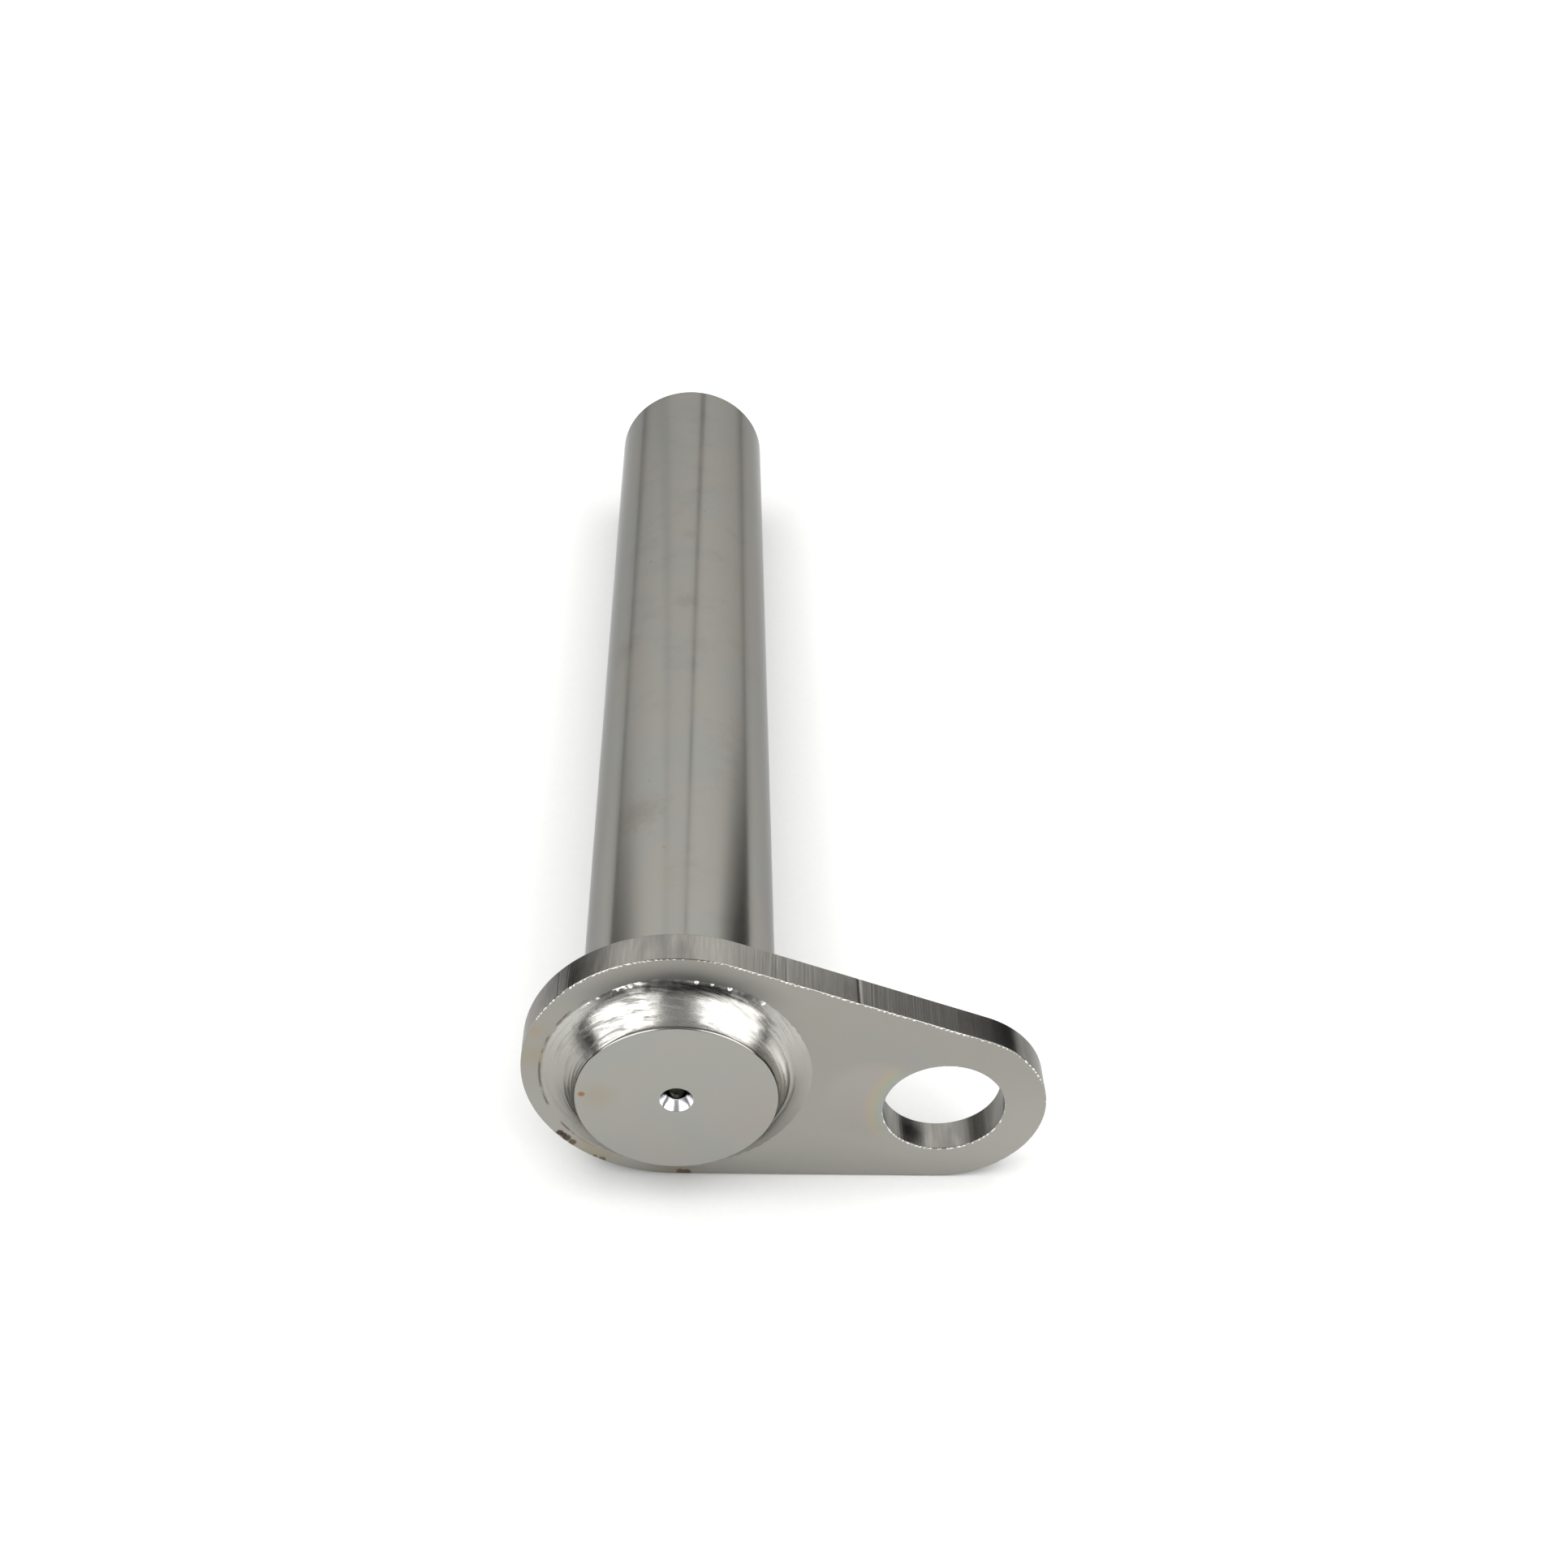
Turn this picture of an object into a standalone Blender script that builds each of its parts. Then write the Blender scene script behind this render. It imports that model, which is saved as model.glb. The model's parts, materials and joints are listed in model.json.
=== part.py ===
"""Flag-type hitch pin: a plain round bar, a teardrop locking flag and the weld that joins them.

The bar slides through the aligned bores of a hitch and its machine. The flag stops it at one side,
and a bolt through the flag's hole keeps the bar from turning or working its way out.

Row frame, in metres: the bar's axis is the Y axis, the origin is the centre of its tip face, and the
flag is at -Y. Z is up, with the flag's straight lower edge level and its bolt hole towards +X.
"""

import math

import bpy

MM = 0.001

# ---------------------------------------------------------------- driving dimensions
PIN_DIAMETER = 30.0 * MM
USABLE_LENGTH = 180.0 * MM  # from the flag's inner face to the tip face
TIP_CHAMFER = 1.2 * MM  # 45 degree lead-in at the tip
HEAD_PROUD = 5.65 * MM  # how far the bar stands out of the flag's outer face
HEAD_EDGE_BREAK = 0.25 * MM  # 45 degree edge break round the head face

CENTRE_MOUTH_DIAMETER = 5.0 * MM  # lathe centre in the head face
CENTRE_PILOT_DIAMETER = 3.15 * MM
CENTRE_CONE_ANGLE = math.radians(60.0)
CENTRE_PILOT_LENGTH = 3.1 * MM
DRILL_POINT_ANGLE = math.radians(118.0)

FLAG_THICKNESS = 5.2 * MM
FLAG_PIN_END_RADIUS = 23.25 * MM
FLAG_BOLT_END_RADIUS = 15.65 * MM
BOLT_HOLE_DISTANCE = 41.3 * MM  # from the bar's axis to the bolt hole's axis
BOLT_HOLE_DIAMETER = 18.5 * MM  # clears an M16 bolt
PIN_HOLE_CLEARANCE = 0.3 * MM  # radial, between the bar and the flag's hole for it

WELD_LEG_ON_FLAG = 5.1 * MM  # from the bar's surface out to the weld's toe
WELD_LEG_ON_PIN = 5.15 * MM  # from the flag's outer face along the bar
WELD_EDGE = 0.35 * MM  # thickness of the weld's two feathered edges
WELD_FOOT_LEAN = math.radians(15.0)  # the weld face's normal, from straight out of the bar
WELD_TOE_LEAN = math.radians(75.0)
WELD_GAP = 0.3 * MM  # clearance of the weld solid to the bar and to the flag

# ---------------------------------------------------------------- facet counts
PIN_SEGMENTS = 96
ARC_STEP = math.radians(3.75)  # one facet of the flag's outline and holes
WELD_SEGMENTS = 96
WELD_PROFILE_STEPS = 6

# ---------------------------------------------------------------- derived places
PIN_RADIUS = PIN_DIAMETER / 2
FLAG_INNER_Y = -USABLE_LENGTH
FLAG_OUTER_Y = FLAG_INNER_Y - FLAG_THICKNESS
HEAD_Y = FLAG_OUTER_Y - HEAD_PROUD
# The flag's centre line dips by this angle, which brings its lower tangent level.
FLAG_TAPER = math.asin((FLAG_PIN_END_RADIUS - FLAG_BOLT_END_RADIUS) / BOLT_HOLE_DISTANCE)
BOLT_HOLE_X = BOLT_HOLE_DISTANCE * math.cos(FLAG_TAPER)
BOLT_HOLE_Z = -BOLT_HOLE_DISTANCE * math.sin(FLAG_TAPER)

MERGE_DISTANCE = 0.00001
ALONG_Y = (-math.pi / 2, 0.0, 0.0)  # turns an object's own Z axis to the row's +Y
FACING_Y = (math.pi / 2, 0.0, 0.0)  # turns a flat outline drawn in XY to the row's XZ plane


def clear_scene():
    """Removes what the opened file holds."""
    for obj in list(bpy.data.objects):
        bpy.data.objects.remove(obj)


def steel_finish(name, color, roughness):
    """A zinc-plated steel material, as a Principled BSDF."""
    material = bpy.data.materials.new(name)
    material.use_nodes = True
    shader = material.node_tree.nodes["Principled BSDF"]
    shader.inputs["Base Color"].default_value = (*color, 1.0)
    shader.inputs["Metallic"].default_value = 1.0
    shader.inputs["Roughness"].default_value = roughness
    material.diffuse_color = (*color, 1.0)
    return material


def arc(center_x, center_y, radius, start, end):
    """Points along an arc from angle start to angle end, both ends included."""
    steps = max(2, math.ceil(abs(end - start) / ARC_STEP))
    angles = [start + (end - start) * i / steps for i in range(steps + 1)]
    return [(center_x + radius * math.cos(a), center_y + radius * math.sin(a)) for a in angles]


def circle(center_x, center_y, radius):
    """Points round a full circle, without repeating the first."""
    return arc(center_x, center_y, radius, 0.0, 2 * math.pi)[:-1]


def place(obj, collection, frame, material, location, rotation):
    """Links an object, gives it its material and hangs it on the frame empty."""
    collection.objects.link(obj)
    obj.data.materials.append(material)
    obj.parent = frame
    obj.location = location
    obj.rotation_euler = rotation
    return obj


def turned(name, profile, segments, closed=False):
    """A turned solid: (radius, height) points, spun about the object's own Z axis."""
    mesh = bpy.data.meshes.new(name)
    edges = [(i, i + 1) for i in range(len(profile) - 1)]
    if closed:
        edges.append((len(profile) - 1, 0))
    mesh.from_pydata([(radius, 0.0, height) for radius, height in profile], edges, [])
    obj = bpy.data.objects.new(name, mesh)
    screw = obj.modifiers.new("Turn", "SCREW")
    screw.steps = screw.render_steps = segments
    screw.use_merge_vertices = True
    screw.merge_threshold = MERGE_DISTANCE
    screw.use_smooth_shade = True
    return obj


def pin_profile():
    """The bar's half section, from the tip's centre down its outer side to the lathe centre's bottom."""
    head = HEAD_Y
    mouth = CENTRE_MOUTH_DIAMETER / 2
    pilot = CENTRE_PILOT_DIAMETER / 2
    cone_depth = (mouth - pilot) / math.tan(CENTRE_CONE_ANGLE / 2)
    pilot_end = head + cone_depth + CENTRE_PILOT_LENGTH
    drill_point = pilot / math.tan(DRILL_POINT_ANGLE / 2)
    return [
        (0.0, 0.0),
        (PIN_RADIUS - TIP_CHAMFER, 0.0),
        (PIN_RADIUS, -TIP_CHAMFER),
        (PIN_RADIUS, head + HEAD_EDGE_BREAK),
        (PIN_RADIUS - HEAD_EDGE_BREAK, head),
        (mouth, head),
        (pilot, head + cone_depth),
        (pilot, pilot_end),
        (0.0, pilot_end + drill_point),
    ]


def weld_profile():
    """The fillet weld's half section: a concave face between a foot on the bar and a toe on the flag.

    Heights run up from the flag's outer face towards the head. The face is an arc, stretched to the
    weld's two legs, along which its normal swings evenly from the foot's lean to the toe's.
    """
    root_radius = PIN_RADIUS + WELD_GAP
    toe_radius = PIN_RADIUS + WELD_LEG_ON_FLAG
    foot = WELD_GAP
    top = WELD_LEG_ON_PIN
    across = toe_radius - root_radius - WELD_EDGE
    rise = top - foot - WELD_EDGE
    outward = math.cos(WELD_FOOT_LEAN) - math.cos(WELD_TOE_LEAN)
    down = math.sin(WELD_TOE_LEAN) - math.sin(WELD_FOOT_LEAN)
    face = []
    for i in range(WELD_PROFILE_STEPS + 1):
        lean = WELD_FOOT_LEAN + (WELD_TOE_LEAN - WELD_FOOT_LEAN) * i / WELD_PROFILE_STEPS
        out = (math.cos(WELD_FOOT_LEAN) - math.cos(lean)) / outward
        fall = (math.sin(lean) - math.sin(WELD_FOOT_LEAN)) / down
        face.append((root_radius + WELD_EDGE + across * out, top - rise * fall))
    return [(root_radius, top), *face, (toe_radius, foot), (root_radius, foot)]


def flag_outline():
    """Teardrop of two arcs and their common tangents, counter-clockwise, with the lower tangent level."""
    upper = math.pi / 2 - 2 * FLAG_TAPER  # direction of the upper tangent's touching points
    lower = -math.pi / 2
    pin_end = arc(0.0, 0.0, FLAG_PIN_END_RADIUS, upper, lower + 2 * math.pi)
    bolt_end = arc(BOLT_HOLE_X, BOLT_HOLE_Z, FLAG_BOLT_END_RADIUS, lower, upper)
    return pin_end + bolt_end


def make_flag():
    """The flag: a flat outline with its two holes, given its thickness."""
    curve = bpy.data.curves.new("locking_flag", "CURVE")
    curve.dimensions = "2D"
    curve.fill_mode = "BOTH"
    curve.extrude = FLAG_THICKNESS / 2
    pin_hole_radius = PIN_RADIUS + PIN_HOLE_CLEARANCE
    for points in (
        flag_outline(),
        circle(0.0, 0.0, pin_hole_radius),
        circle(BOLT_HOLE_X, BOLT_HOLE_Z, BOLT_HOLE_DIAMETER / 2),
    ):
        spline = curve.splines.new("POLY")
        spline.points.add(len(points) - 1)
        for point, (x, z) in zip(spline.points, points):
            point.co = (x, z, 0.0, 1.0)
        spline.use_cyclic_u = True
    return bpy.data.objects.new("locking_flag", curve)


def main():
    clear_scene()
    collection = bpy.data.collections.new("hitch_pin_lock")
    bpy.context.scene.collection.children.link(collection)
    frame = bpy.data.objects.new("pin_axis", None)
    collection.objects.link(frame)

    bar_finish = steel_finish("plated_bar", (0.34, 0.335, 0.31), 0.32)
    flag_finish = steel_finish("plated_plate", (0.34, 0.33, 0.30), 0.38)
    weld_finish = steel_finish("plated_weld", (0.55, 0.545, 0.53), 0.18)

    pin = turned("pin", pin_profile(), PIN_SEGMENTS)
    place(pin, collection, frame, bar_finish, (0.0, 0.0, 0.0), ALONG_Y)

    flag_center_y = (FLAG_INNER_Y + FLAG_OUTER_Y) / 2
    place(make_flag(), collection, frame, flag_finish, (0.0, flag_center_y, 0.0), FACING_Y)

    weld = turned("fillet_weld", weld_profile(), WELD_SEGMENTS, closed=True)
    place(weld, collection, frame, weld_finish, (0.0, FLAG_OUTER_Y, 0.0), FACING_Y)


main()
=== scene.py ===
# %% [markdown]
# # A welded hitch pin with a locking flag
#
# The object is a plain steel bar pushed through a teardrop plate, the flag. One weld runs all the way
# round the joint, and the whole piece is zinc plated. A solid model of it is loaded first, as a fixed
# frame. Each of its three solids is then replaced by a finer mesh in the same place: a turned bar, a
# laser-cut plate and a sculpted weld. Every size is read from the frame or stated once, in metres.

# %% Load the frame
import json
import math

import bmesh
import bpy
import numpy as np
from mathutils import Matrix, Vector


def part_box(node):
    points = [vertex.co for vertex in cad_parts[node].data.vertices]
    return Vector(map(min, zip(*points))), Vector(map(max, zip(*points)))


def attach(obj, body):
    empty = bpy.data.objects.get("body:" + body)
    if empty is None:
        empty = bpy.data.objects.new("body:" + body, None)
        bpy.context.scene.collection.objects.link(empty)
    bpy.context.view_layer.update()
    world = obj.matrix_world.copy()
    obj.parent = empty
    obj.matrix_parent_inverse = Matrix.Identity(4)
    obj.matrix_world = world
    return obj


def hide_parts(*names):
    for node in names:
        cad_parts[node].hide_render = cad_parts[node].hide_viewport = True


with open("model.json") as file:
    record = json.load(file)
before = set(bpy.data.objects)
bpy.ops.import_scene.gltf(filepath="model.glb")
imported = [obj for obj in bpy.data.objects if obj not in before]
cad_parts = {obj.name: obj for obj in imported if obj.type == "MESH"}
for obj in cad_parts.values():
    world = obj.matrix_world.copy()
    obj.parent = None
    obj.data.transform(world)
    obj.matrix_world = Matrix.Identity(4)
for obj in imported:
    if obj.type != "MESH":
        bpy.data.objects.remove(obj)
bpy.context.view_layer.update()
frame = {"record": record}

MM = 0.001
SEED = 31

# %% [markdown]
# ## Sizes
#
# The bar lies along Y, with its tip at the origin and the flag at the far, negative end. The boxes of
# the solids give the bar's radius, the flag's thickness and the radius of its big end. The bolt hole's
# centre is the middle of the clear space that the record keeps open for the bolt, and the small end of
# the teardrop is concentric with it.

# %% Read the sizes
pin_low, pin_high = (np.array(corner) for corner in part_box("pin"))
flag_low, flag_high = (np.array(corner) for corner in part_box("locking_flag"))
bolt_space = np.array(frame["record"]["physics"]["openings"][0]["box_m"])

PIN_RADIUS = pin_high[0]
TIP_Y = pin_high[1]
HEAD_Y = pin_low[1]
FLAG_FRONT_Y = flag_low[1]
FLAG_BACK_Y = flag_high[1]
FLAG_THICKNESS = FLAG_BACK_Y - FLAG_FRONT_Y
PIN_END_RADIUS = -flag_low[2]
BOLT_X, _, BOLT_Z = bolt_space.mean(axis=0)
BOLT_END_RADIUS = flag_high[0] - BOLT_X
BOLT_HOLE_RADIUS = 9.25 * MM
HEAD_PROUD = FLAG_FRONT_Y - HEAD_Y
print("bar radius", PIN_RADIUS, "flag thickness", FLAG_THICKNESS, "bolt hole at", BOLT_X, BOLT_Z)

# %% [markdown]
# ## Tools for numpy surfaces
#
# A surface here is a grid of points: rows run along a profile and columns run round the piece. Whole
# grids are worked out as arrays, which is quick and keeps each shape down to one formula. The grids of
# a piece are then joined, their shared borders are merged, and the result is one closed skin. A Screw
# or a Boolean could make the plain shapes, but not the cut marks and the uneven weld bead.


# %% Grid and profile helpers
MERGE_WITHIN = 0.001 * MM  # points that lie closer than this are one point


def grid_faces(rows, columns, first):
    """Four corners of each cell of a rows x columns grid whose last column is joined to its first."""
    index = first + np.arange(rows * columns).reshape(rows, columns)
    index = np.concatenate([index, index[:, :1]], axis=1)
    corners = (index[:-1, :-1], index[:-1, 1:], index[1:, 1:], index[1:, :-1])
    return np.stack([corner.ravel() for corner in corners], axis=1)


def skin(name, grids, node, sharp=math.radians(40)):
    """One closed mesh from point grids of shape (rows, columns, 3), closed round their columns."""
    points, faces, count = [], [], 0
    for grid in grids:
        rows, columns = grid.shape[:2]
        faces.append(grid_faces(rows, columns, count))
        points.append(grid.reshape(-1, 3))
        count += rows * columns
    mesh = bpy.data.meshes.new(name)
    mesh.from_pydata(np.concatenate(points).tolist(), [], np.concatenate(faces).tolist())
    shell = bmesh.new()
    shell.from_mesh(mesh)
    bmesh.ops.remove_doubles(shell, verts=shell.verts, dist=MERGE_WITHIN)
    bmesh.ops.recalc_face_normals(shell, faces=shell.faces)
    open_edges = sum(not edge.is_manifold for edge in shell.edges)
    shell.to_mesh(mesh)
    shell.free()
    mesh.shade_smooth()
    mesh.set_sharp_from_angle(angle=sharp)
    piece = bpy.data.objects.new(name, mesh)
    bpy.context.scene.collection.objects.link(piece)
    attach(piece, "root")
    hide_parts(node)
    print(name, len(mesh.polygons), "faces, open edges:", open_edges)
    return piece


def soften(corners, radii, steps=5, hold=0.06 * MM):
    """A profile through corner points, each corner turned by a curve that starts and ends at its radius.

    The curve is a quadratic Bezier: start*(1-t)^2 + corner*2t(1-t) + end*t^2. A point is kept just
    outside each curve, so that smooth shading does not spread from the corner onto the flat.
    """
    corners = np.array(corners, float)
    t = np.linspace(0, 1, steps)[:, None]
    out = [corners[:1]]
    for before, corner, after, radius in zip(corners, corners[1:], corners[2:], radii):
        back = (before - corner) / np.linalg.norm(before - corner)
        ahead = (after - corner) / np.linalg.norm(after - corner)
        start, end = corner + back * radius, corner + ahead * radius
        curve = start * (1 - t) ** 2 + corner * 2 * t * (1 - t) + end * t**2
        out += [(start + back * hold)[None], curve, (end + ahead * hold)[None]]
    out.append(corners[-1:])
    return np.concatenate(out)


print("grid points within", MERGE_WITHIN / MM, "mm of each other are merged")

# %% [markdown]
# ## The bar
#
# On the real pin this is drawn round bar. Its tip has a small chamfer so that it finds the bore, its
# head face has a lathe centre, and every turned edge is broken by a fraction of a millimetre. A profile
# of radius against length, spun round the axis, gives all of that. A Screw modifier could spin it too,
# but a later step picks the lathe centre's faces by their place, so the mesh is made at once. The
# softened corners matter most, because they catch the light as a thin bright rim.

# %% Make the bar
TIP_CHAMFER = 1.2 * MM
TIP_EDGE = 0.2 * MM
HEAD_EDGE = 0.25 * MM
CENTRE_MOUTH = 2.5 * MM
CENTRE_PILOT = 1.575 * MM
CENTRE_CONE_DEPTH = (CENTRE_MOUTH - CENTRE_PILOT) / math.tan(math.radians(30))
CENTRE_PILOT_DEPTH = 3.1 * MM
DRILL_POINT = 0.6  # depth of the drill's point as a share of its radius
CENTRE_EDGES = [0.06 * MM, 0.05 * MM, 0.1 * MM]  # at the mouth, below the cone and at the bottom
BAR_COLUMNS = 320


def spun(profile, columns):
    """Points at (radius*sin(a), y, radius*cos(a)) for each profile point (radius, y) and angle a."""
    angle = np.arange(columns) * 2 * np.pi / columns
    radius, height = profile[:, :1], profile[:, 1:]
    x = radius * np.sin(angle)
    z = radius * np.cos(angle)
    return np.stack([x, np.broadcast_to(height, x.shape), z], axis=-1)


pilot_end = HEAD_Y + CENTRE_CONE_DEPTH + CENTRE_PILOT_DEPTH
bar_profile = soften(
    [
        (0, TIP_Y),
        (PIN_RADIUS - TIP_CHAMFER, TIP_Y),
        (PIN_RADIUS, TIP_Y - TIP_CHAMFER),
        (PIN_RADIUS, HEAD_Y),
        (CENTRE_MOUTH, HEAD_Y),
        (CENTRE_PILOT, HEAD_Y + CENTRE_CONE_DEPTH),
        (CENTRE_PILOT, pilot_end),
        (0, pilot_end + CENTRE_PILOT * DRILL_POINT),
    ],
    [TIP_EDGE, TIP_EDGE, HEAD_EDGE, *CENTRE_EDGES],
)
bar = skin("turned_bar", [spun(bar_profile, BAR_COLUMNS)], "pin")

# %% [markdown]
# ## The flag
#
# The flag is laser cut from plate about 5 mm thick. Its outline is the path of a circle that slides
# from the pin end to the bolt end while it shrinks. On the two round ends the circle stands still and
# the outline turns round it, and on the two straight runs the direction stays and the circle moves. So
# four numbers, the turn, the circle's centre in X and Z and its radius, follow the distance round the
# outline in straight steps. A curve would draw the same line, but a function can be read at any distance
# and with any inset, which the cut marks and the softened edges need.

# %% The outline as one function
centre_line = math.hypot(BOLT_X, BOLT_Z)
taper = math.asin((PIN_END_RADIUS - BOLT_END_RADIUS) / centre_line)
straight = math.sqrt(centre_line**2 - (PIN_END_RADIUS - BOLT_END_RADIUS) ** 2)
pin_end_run = PIN_END_RADIUS * (math.pi + 2 * taper)
bolt_end_run = BOLT_END_RADIUS * (math.pi - 2 * taper)
upper_turn = math.pi / 2 - 2 * taper  # direction that the upper straight edge faces
lower_turn = 1.5 * math.pi  # direction that the lower straight edge faces
run_ends = np.cumsum([0, pin_end_run, straight, bolt_end_run, straight])
OUTLINE_LENGTH = run_ends[-1]
OUTLINE_COLUMNS = 1400
FLAG_EDGE = 0.15 * MM


def outline(distance, inset):
    """A point on the flag's outline: the sliding circle's centre plus its radius, less the inset.

    All four values are read from straight steps between the ends of the four runs.
    """
    full_turn = upper_turn + 2 * math.pi
    turn = np.interp(distance, run_ends, [upper_turn, lower_turn, lower_turn, full_turn, full_turn])
    radius = np.interp(distance, run_ends, [PIN_END_RADIUS] * 2 + [BOLT_END_RADIUS] * 2 + [PIN_END_RADIUS])
    center_x = np.interp(distance, run_ends, [0, 0, BOLT_X, BOLT_X, 0])
    center_z = np.interp(distance, run_ends, [0, 0, BOLT_Z, BOLT_Z, 0])
    return center_x + (radius - inset) * np.cos(turn), center_z + (radius - inset) * np.sin(turn)


print("outline length", round(OUTLINE_LENGTH / MM, 2), "mm")

# %% [markdown]
# ## The cut edge
#
# A laser leaves fine grooves across the edge, a few tenths of a millimetre apart, and they lean back
# a little towards the side where the beam leaves. Where the beam starts or stutters there is a deeper
# notch. On the side where the melt was blown out there is a thin, uneven burr. A bump pattern would not
# break the outline, so all of these are small moves of the edge's own points, inwards for the grooves and
# forwards for the burr. The burr is strongest where the edge faces up.

# %% Make the edge grid
draw = np.random.default_rng(SEED)
EDGE_ROWS = 12
GROOVE_DEPTH = 0.0045 * MM
GROOVE_LAG = 0.006  # how far a groove falls behind by the back face, in radians round the loop
BURR_HEIGHT = 0.20 * MM
BURR_PLACE = 0.05 * MM  # where the burr is highest, measured from the sharp corner both ways
BURR_DEEP, BURR_WIDE = 0.16 * MM, 0.2 * MM  # how far it spreads into the cut and onto the face
NOTCHES = [(61.0, 0.07), (39.5, 0.012), (-48.0, 0.04)]  # degrees from up, towards the bolt; depth in mm
NOTCH_WIDTH = 0.35  # in degrees


def ring_waves(draw, angle, low, high, count):
    """An uneven line round a loop: a sum of sines that repeat from low to high whole times round it."""
    times = draw.integers(low, high + 1, count)
    phase = draw.uniform(0, 2 * np.pi, count)
    return np.sin(np.multiply.outer(angle, times) + phase).sum(axis=-1) / math.sqrt(count / 2)


def bell(value, middle, width):
    """A smooth bump of height 1 at middle, exp(-((value-middle)/width)^2)."""
    return np.exp(-(((value - middle) / width) ** 2))


def plate_rim(edge, rows):
    """A cut rim's profile of (distance in from the cut, depth): two softened corners and rows between."""
    corners = [(edge * 2, 0), (0, 0), (0, FLAG_THICKNESS), (edge * 2, FLAG_THICKNESS)]
    profile = soften(corners, [edge, edge])
    half = len(profile) // 2
    wall = np.linspace(profile[half - 1, 1], profile[half, 1], rows)[1:-1]
    wall = np.stack([np.zeros_like(wall), wall], axis=1)
    return np.concatenate([profile[:half], wall, profile[half:]])


def burr_share(depth, inset):
    """How much of the burr's height a point gets, from its depth and its distance in from the cut."""
    return bell(depth, BURR_PLACE, BURR_DEEP) * bell(inset, BURR_PLACE, BURR_WIDE)


def cut_marks(angle, depth, draw):
    """How far the cut goes into the edge, from 0 up, at an angle round a loop and a depth into it.

    Grooves are fine ring waves whose place lags with the depth squared, as the beam bends back.
    """
    lag = GROOVE_LAG * (depth / FLAG_THICKNESS) ** 2
    phase = angle + lag
    coarse = ring_waves(draw, phase, 60, 200, 26)
    fine = ring_waves(draw, phase, 260, 560, 60)
    patch = 0.6 + 0.4 * np.tanh(ring_waves(draw, angle, 3, 14, 10))
    return GROOVE_DEPTH * patch * (1.6 + 0.55 * coarse + 0.75 * fine).clip(0)


distance = np.arange(OUTLINE_COLUMNS) * OUTLINE_LENGTH / OUTLINE_COLUMNS
loop_angle = distance * 2 * np.pi / OUTLINE_LENGTH
edge_profile = plate_rim(FLAG_EDGE, EDGE_ROWS)
inset, depth = edge_profile[:, :1], edge_profile[:, 1:]
on_wall = 1 - (inset / FLAG_EDGE).clip(0, 1)
marks = cut_marks(loop_angle + 0 * depth, depth, draw)
rim_x, rim_z = outline(distance, 0)
rim_angle = np.degrees(np.arctan2(rim_x, rim_z))
for place, deep in NOTCHES:
    marks = marks + deep * MM * bell(rim_angle, place, NOTCH_WIDTH)
burr = (0.08 + 0.6 * ring_waves(draw, loop_angle, 90, 330, 60)).clip(0)
burr = BURR_HEIGHT * burr * (0.6 + 0.4 * np.tanh(ring_waves(draw, loop_angle, 4, 30, 12)))
facing_up = (np.roll(rim_x, 1) - np.roll(rim_x, -1)) * OUTLINE_COLUMNS / OUTLINE_LENGTH / 2
burr = burr * (1.6 * facing_up).clip(0.1, 1) * (1 - 0.8 * bell(rim_angle, 2, 13))
burr = burr * np.interp(rim_angle, [-60, -35], [0.35, 1])
on_burr = burr_share(depth, inset)
on_burr = on_burr * (1 - inset / (FLAG_EDGE * 2))  # nothing at the border, where the faces join on
edge_x, edge_z = outline(distance, inset + on_wall * marks)
edge_y = FLAG_FRONT_Y + depth - on_burr * burr
edge_grid = np.stack([edge_x, np.broadcast_to(edge_y, edge_x.shape), edge_z], axis=-1)
bead_height = (on_burr * burr).max() / MM
print("edge grid", edge_grid.shape[:2], "highest bead of the burr", round(bead_height, 3), "mm")

# %% [markdown]
# ## The two faces and the two holes
#
# A flat face with two holes has no grid of its own, so it is split by a line between the holes. Each
# half is then a ring round one hole: for every point of its border, a straight ray runs to the hole's
# centre and stops at the hole's edge. The rays carry on over the hole's rim, through the plate and back
# out on the other face, so that each half is one grid. The halves share the points of the dividing line.

# %% Make the halves
FACE_STEPS = np.array([0, 0.02, 0.3, 0.6, 0.85, 0.97, 1])
HOLE_ROWS = 10
DIVIDER_POINTS = 60
DIVIDER_X = 25.5 * MM
PIN_HOLE_RADIUS = PIN_RADIUS + 0.02 * MM
PIN_HOLE_EDGE = 0.12 * MM


def half_grid(ring_x, ring_z, center_x, center_z, hole_radius, rim, marks):
    """A ring of rays from a border to a hole's centre, over the rim and through the plate.

    Face points are border + t*(rim start - border). The rim and wall follow a softened profile of
    (distance beyond the hole's radius, depth), and marks are cut into the wall outwards.
    """
    away_x, away_z = ring_x - center_x, ring_z - center_z
    reach = np.hypot(away_x, away_z)
    cos, sin = away_x / reach, away_z / reach
    profile = plate_rim(rim, HOLE_ROWS)
    out, depth = profile[:, :1], profile[:, 1:]
    angle = np.arctan2(away_x, away_z)
    worn, lip = marks(angle, depth, out)
    radius = hole_radius + out + worn
    t = FACE_STEPS[:, None]
    front = reach + t * (hole_radius + rim * 2 - reach)
    radii = np.concatenate([front, radius, front[::-1]])
    depths = np.concatenate([0 * front, depth - lip, 0 * front + FLAG_THICKNESS])
    x = center_x + radii * cos
    z = center_z + radii * sin
    return np.stack([x, FLAG_FRONT_Y + depths, z], axis=-1)


def bolt_hole_marks(angle, depth, out):
    """Cut marks on the bolt hole's wall, and the burr on its front rim, which is highest at the bottom."""
    wall = 1 - (out / FLAG_EDGE).clip(0, 1)
    lip = (0.08 + 0.6 * ring_waves(draw, angle, 26, 95, 40)).clip(0)
    lip = 0.8 * BURR_HEIGHT * lip * (-1.5 * np.cos(angle) - 0.3).clip(0.05, 1)
    return 0.6 * wall * cut_marks(angle + 0 * depth, depth, draw), lip * burr_share(depth, out)


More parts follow.
